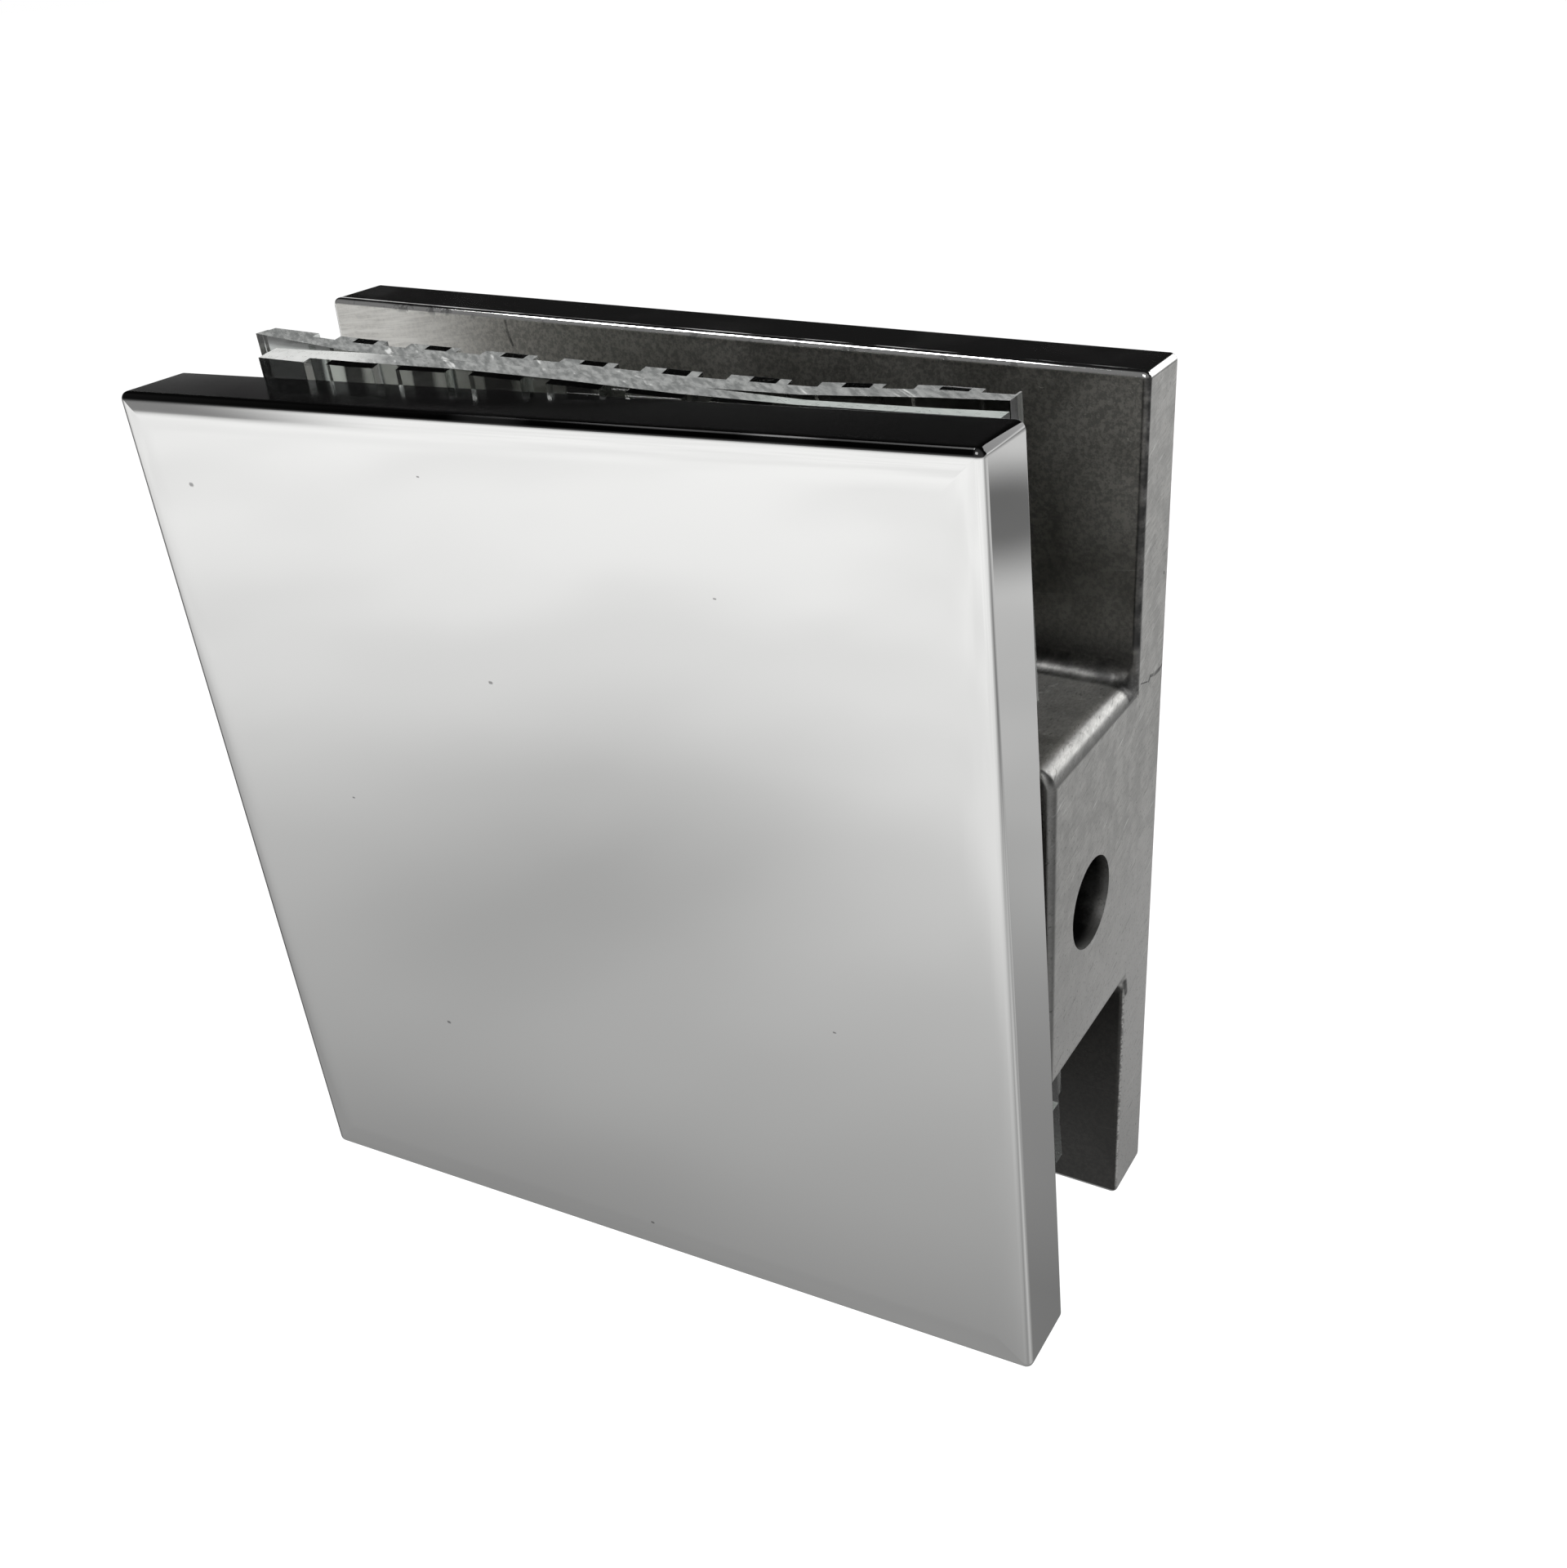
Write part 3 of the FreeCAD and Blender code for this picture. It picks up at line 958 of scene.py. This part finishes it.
# %% Copy it for the lower hole
lower_low, lower_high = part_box("lower_clamp_screw")
lower_screw = screw.copy()
lower_screw.data = screw.data.copy()
lower_screw.name = "lower_countersunk_screw"
bpy.context.scene.collection.objects.link(lower_screw)
lower_screw.location = (lower_low + lower_high) / 2 - axis
print(lower_screw.name, "moved by", [round(v / mm, 2) for v in lower_screw.location], "mm")
only(lower_screw)
bpy.ops.object.transform_apply(location=True, rotation=False, scale=False)

# %% [markdown]
# The screws are hidden while the clamp is closed. Their steel has fine turning marks.

# %% Make the screws' steel
screw_steel, tree, steel, coordinates = start_material("turned_screw_steel")
steel["Metallic"].default_value = 1.0
place = coordinates["Object"]
turned_marks, turned_lines = add_grain(tree, place, (0, 0, 0), (900, 9000, 900))
blotches = noise(tree, place, 500.0, 4.0)
blotch_share = soft_step(tree, blotches, 0.35, 0.65)
colour = mix_colours(tree, blotch_share, (0.62, 0.61, 0.59, 1), (0.78, 0.77, 0.75, 1))
colour = mix_colours(tree, product(tree, turned_lines, 0.4), colour, grey(0.35))
gloss = soft_step(tree, blotches, 0.3, 0.7, 0.2, 0.34)
wire(tree, steel, Base_Color=colour, Roughness=gloss, Normal=bump(tree, turned_marks, 0.006, 0.5))
for piece, place_name in ((screw, "upper"), (lower_screw, "lower")):
    wear(piece, screw_steel)
    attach(piece, place_name + "_screw")
    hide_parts(place_name + "_clamp_screw")
    print(piece.name, "wears", screw_steel.name)

# %% [markdown]
# ## The clear gaskets
# Each gasket is a strip of soft clear vinyl with upright ribs on its outer side, cut with a
# knife. Through the front one the dark and the pale parts of the plate behind show as windows
# between the ribs. Its first faces carry them as painted shade and a painted grey where the
# photograph has them, with more painted shade along the top of the faces behind.

# %% Make clear vinyl
vinyl, tree, plastic, coordinates = start_material("clear_vinyl")
plastic["Transmission Weight"].default_value = 1.0
plastic["IOR"].default_value = 1.5
place = coordinates["Object"]
at = split(tree, place)
facing = split(tree, coordinates["Normal"])
haze = noise(tree, place, 300.0, 3.0)
ripple = noise(tree, place, 120.0, 1.0)
front_side = soft_step(tree, facing["Y"], -0.8, -0.95)
first_side = product(tree, front_side, soft_step(tree, at["Y"], -4.4 * mm, -4.6 * mm))
past_first = soft_step(tree, at["X"], -39.5 * mm, -38.5 * mm)
colour = mix_colours(tree, haze, (0.92, 0.95, 0.93, 1), (0.78, 0.81, 0.79, 1))
colour = mix_colours(tree, product(tree, past_first, first_side), colour, (0.32, 0.325, 0.32, 1))

# Painted shade: dark windows on the first faces, each from its start to its end in millimetres.
shaded_windows = ((-45.0, -40.75), (-39.0, -37.6), (-34.45, -32.9), (-29.85, -27.9), (-24.9, -23.2))
for start, end in shaded_windows:
    past_start = soft_step(tree, at["X"], (start - 0.1) * mm, (start + 0.1) * mm)
    before_end = soft_step(tree, at["X"], (end + 0.3) * mm, (end - 0.3) * mm)
    colour = mix_colours(tree, product(tree, past_start, before_end, first_side), colour, grey(0.006))
# Painted shade near the top of the front faces behind the first ones.
behind_first = soft_step(tree, at["Y"], -4.3 * mm, -4.2 * mm)
near_top = soft_step(tree, at["Z"], 25.3 * mm, 25.6 * mm)
shade_above_front = product(tree, behind_first, near_top, front_side, 0.85)
colour = mix_colours(tree, shade_above_front, colour, grey(0.03))
gloss = soft_step(tree, haze, 0.3, 0.7, 0.05, 0.16)
wire(tree, plastic, Base_Color=colour, Roughness=gloss, Normal=bump(tree, ripple, 0.08, 0.5))
print(len(shaded_windows), "windows in", vinyl.name)

# %% [markdown]
# The knife left the cut edges dull and rough, with paler slices. The front strip's edge is
# palest at its left end, and paler again towards its right end.

# %% Make the cut edge of the vinyl
cut_vinyl, tree, plastic, coordinates = start_material("cut_vinyl")
plastic["Transmission Weight"].default_value = 0.3
plastic["IOR"].default_value = 1.5
place = coordinates["Object"]
at = split(tree, place)
slices, slice_lines = add_grain(tree, place, (0, 0, 40), (700, 3600, 9000))
grit = noise(tree, place, 2500.0, 4.0)
front_strip = soft_step(tree, at["Y"], -4.15 * mm, -4.35 * mm)
left_part = product(tree, soft_step(tree, at["X"], -36 * mm, -40 * mm), front_strip)
right_part = product(tree, soft_step(tree, at["X"], -16 * mm, -13 * mm), front_strip, 0.7)
cut_white = (0.95, 0.96, 0.94, 1)
slice_share = soft_step(tree, slices, 0.35, 0.65)
colour = mix_colours(tree, slice_share, (0.26, 0.27, 0.265, 1), (0.48, 0.49, 0.48, 1))
colour = layered(
    tree, colour, (right_part, (0.74, 0.80, 0.76, 1)), (left_part, cut_white), (slice_lines, cut_white))
gloss = soft_step(tree, grit, 0.3, 0.7, 0.22, 0.5)
height = maths(tree, "ADD", product(tree, slices, 0.8), product(tree, grit, 0.2))
wire(tree, plastic, Base_Color=colour, Roughness=gloss, Normal=bump(tree, height, 0.02, 0.5))
print(cut_vinyl.name, "with", len(tree.nodes), "nodes")

# %% [markdown]
# The strips could be built from blocks, but the solids already have their form when flat, with
# the notch round the boss. So a copy of each is merged and freed of needless edges, and its cut
# edges get the second material. The knife also roughened the rib tops of the rear strip, but
# for a clear stretch on each.

# %% Helpers for the gaskets' cut edges
first_rib_end = -42 * mm


def cut_across(at, normal):
    """Cuts the whole piece along a plane, without a gap."""
    bpy.ops.mesh.select_all(action="SELECT")
    bpy.ops.mesh.bisect(plane_co=at, plane_no=normal)


def copied_solid(node, name):
    """A new piece from the mesh of a CAD node, with its doubles merged and flat faces whole."""
    made = bpy.data.objects.new(name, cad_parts[node].data.copy())
    bpy.context.scene.collection.objects.link(made)
    edit(made)
    bpy.ops.mesh.select_all(action="SELECT")
    bpy.ops.mesh.customdata_custom_splitnormals_clear()
    bpy.ops.mesh.remove_doubles(threshold=same_place)
    bpy.ops.mesh.dissolve_limited(angle_limit=math.radians(1))
    leave()
    return made


def mark_cut_edges(piece, low, high, turn, clear_stretches):
    """Gives the cut edges of the sheet, of its first rib and of marked ribs the second material.

    The sheet lies between the depths low and high. Ribs are marked only where clear_stretches
    are given, and stay clear in them.
    """
    edit(piece)
    for depth in (low, high):
        cut_across(turn @ Vector((0, depth, 0)), turn @ Vector((0, 1, 0)))
    for stretch in clear_stretches:
        for across in stretch:
            cut_across((across, 0, 0), (1, 0, 0))

    def is_rough(at):
        if low < (turn.inverted() @ at).y < high or at.x < first_rib_end:
            return True
        is_clear = any(start < at.x <= end for start, end in clear_stretches)
        return bool(clear_stretches) and not is_clear

    choose_faces(piece, lambda at, normal: abs(normal.z) > 0.5 and is_rough(at))
    piece.active_material_index = 1
    bpy.ops.object.material_slot_assign()
    leave()


# %% [markdown]
# Soft vinyl doesn't stay flat. A lattice bends each strip, and its columns stand at equal steps
# from the strip's left to its right end. Before that the strip is cut across, so that it has
# points to bend at.

# %% A helper that bends a strip
def bend_strip(piece, stations, swing, foot):
    """Bends a strip by the stations of a lattice that is turned with the strip's swing.

    Each station gives, in millimetres, how far its column goes to the right and back, and how
    far the front and the back of its top go up. All of the foot goes to the right by foot.
    """
    turn = Matrix.Rotation(swing, 3, "Z")
    low, high = box_of([turn.inverted() @ v.co for v in piece.data.vertices])
    size = high - low
    bpy.ops.object.select_all(action="DESELECT")
    bpy.ops.object.add(type="LATTICE", location=turn @ ((low + high) / 2))
    cage = bpy.context.active_object
    cage.scale = size
    cage.rotation_euler.z = swing
    edit(piece)
    cuts = 2 * (len(stations) - 1)
    for step in range(1, cuts):
        cut_across((low.x + (high.x - low.x) * step / cuts, 0, 0), (1, 0, 0))
    leave()
    cage.data.points_u = len(stations)
    cage.data.points_v = 2
    cage.data.points_w = 2
    for letter in "uvw":
        setattr(cage.data, "interpolation_type_" + letter, "KEY_LINEAR")
    for point in cage.data.points:
        step = round((point.co.x + 0.5) * (len(stations) - 1))
        across, back, rise_front, rise_back = stations[step]
        move = Vector((foot, back, 0))
        if point.co.z > 0:
            move.x = across
            move.z = rise_back if point.co.y > 0 else rise_front
        point.co_deform = point.co + Vector([move[i] * mm / size[i] for i in range(3)])
    bpy.context.view_layer.update()
    finish_with(piece, "LATTICE", object=cage)
    bpy.data.objects.remove(cage)


# %% [markdown]
# The front strip lies along the plate, and the rear one swings away from it towards its right
# end. Last, a small bevel catches the light as the real moulded edges do.

# %% Model the gaskets
rib_height = 0.5 * mm
rib_pitch = 4.75 * mm
clear_from, clear_to = 1.3 * mm, 2.7 * mm
edge_softness = 0.07 * mm
bends = {
    "front": (
        (0.35, 0, -0.26, -0.11), (0.35, 0, -0.35, 0.03), (0.3, 0, -0.22, -0.01), (0.2, 0, -0.36, -0.02),
        (0, 0, -0.5, -0.3), (-0.1, 0, -0.46, -0.5), (-0.2, 0, -0.37, -0.38), (-0.3, 0, -0.27, -0.17)),
    "rear": (
        (-0.75, 0.5, 0.2, 0.18), (-0.4, -0.1, -0.24, 0.05), (-0.2, -0.3, -0.28, -0.06),
        (0, -0.5, -0.34, -0.17), (0, -0.6, -0.67, -0.33), (0, -0.5, -0.7, -0.48),
        (0, -0.3, -0.46, -0.31), (0, 0, -0.36, -0.45)),
}
loose = {"front": (0, -0.3), "rear": (math.radians(1.9), -0.6)}
rear_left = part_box("rear_gasket")[0].x
rib_starts = [rear_left + rib * rib_pitch for rib in range(1, 9)]
clear_stretches = {"front": [], "rear": [(start + clear_from, start + clear_to) for start in rib_starts]}

for side, stations in bends.items():
    gasket = copied_solid(side + "_gasket", side + "_clear_gasket")
    wear(gasket, vinyl, cut_vinyl)
    swing, foot = loose[side]
    turn = Matrix.Rotation(swing, 3, "Z")
    depths = [(turn.inverted() @ v.co).y for v in gasket.data.vertices]
    sheet_near, sheet_far = min(depths), max(depths)
    if side == "front":
        sheet_near += rib_height
    else:
        sheet_far -= rib_height
    mark_cut_edges(gasket, sheet_near, sheet_far, turn, clear_stretches[side])
    bend_strip(gasket, stations, swing, foot)
    soften(gasket, edge_softness)
    smooth(gasket)
    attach(gasket, "clamp_plate")
    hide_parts(side + "_gasket")
    print(gasket.name, len(gasket.data.polygons), "faces")
